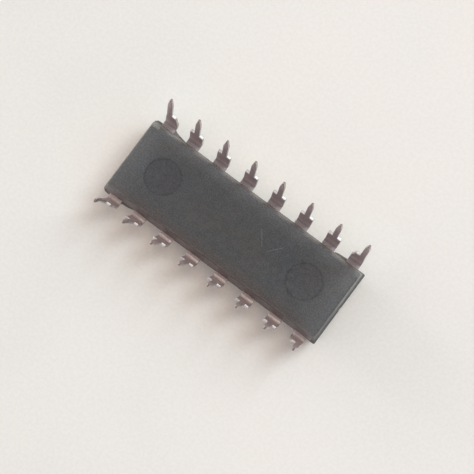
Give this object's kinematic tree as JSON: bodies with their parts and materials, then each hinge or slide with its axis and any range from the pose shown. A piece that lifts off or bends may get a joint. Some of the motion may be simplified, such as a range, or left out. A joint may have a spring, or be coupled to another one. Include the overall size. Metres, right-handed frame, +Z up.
{
  "type": "dip integrated circuit chip",
  "caption": "Black rectangular dual in-line chip package with a row of flat, outward-leaning leads along each long side, lying on its back with the leads up.",
  "frame": {"origin": "centre of the package's top face, which lies down on the table", "axes": "+X along the package away from the notched end, +Y towards the row of leads 1 to 8, +Z up through the lead tips"},
  "size_m": [0.0198, 0.0094, 0.0072],
  "materials": {
    "moulded_epoxy": "matt, fine mould texture, softly rubbed at the corners",
    "plated_leads": "tin plate dulled to a mauve brown, brighter on cut edges and shoulders",
    "bare_leadframe": "rolled strip, unplated",
    "die_adhesive": "matt, filled with metal flake",
    "silicon": "polished",
    "gold_wire": "bright drawn wire"
  },
  "bodies": {
    "root": {"package_body": "moulded_epoxy", "die_pad": "bare_leadframe", "die_attach": "die_adhesive", "die": "silicon", "lead_01": "plated_leads", "lead_02": "plated_leads", "lead_03": "plated_leads", "lead_04": "plated_leads", "lead_05": "plated_leads", "lead_06": "plated_leads", "lead_07": "plated_leads", "lead_08": "plated_leads", "lead_09": "plated_leads", "lead_10": "plated_leads", "lead_11": "plated_leads", "lead_12": "plated_leads", "lead_13": "plated_leads", "lead_14": "plated_leads", "lead_15": "plated_leads", "lead_16": "plated_leads", "bond_wire_01": "gold_wire", "bond_wire_02": "gold_wire", "bond_wire_03": "gold_wire", "bond_wire_04": "gold_wire", "bond_wire_05": "gold_wire", "bond_wire_06": "gold_wire", "bond_wire_07": "gold_wire", "bond_wire_08": "gold_wire", "bond_wire_09": "gold_wire", "bond_wire_10": "gold_wire", "bond_wire_11": "gold_wire", "bond_wire_12": "gold_wire", "bond_wire_13": "gold_wire", "bond_wire_14": "gold_wire", "bond_wire_15": "gold_wire", "bond_wire_16": "gold_wire"}
  },
  "joints": []
}
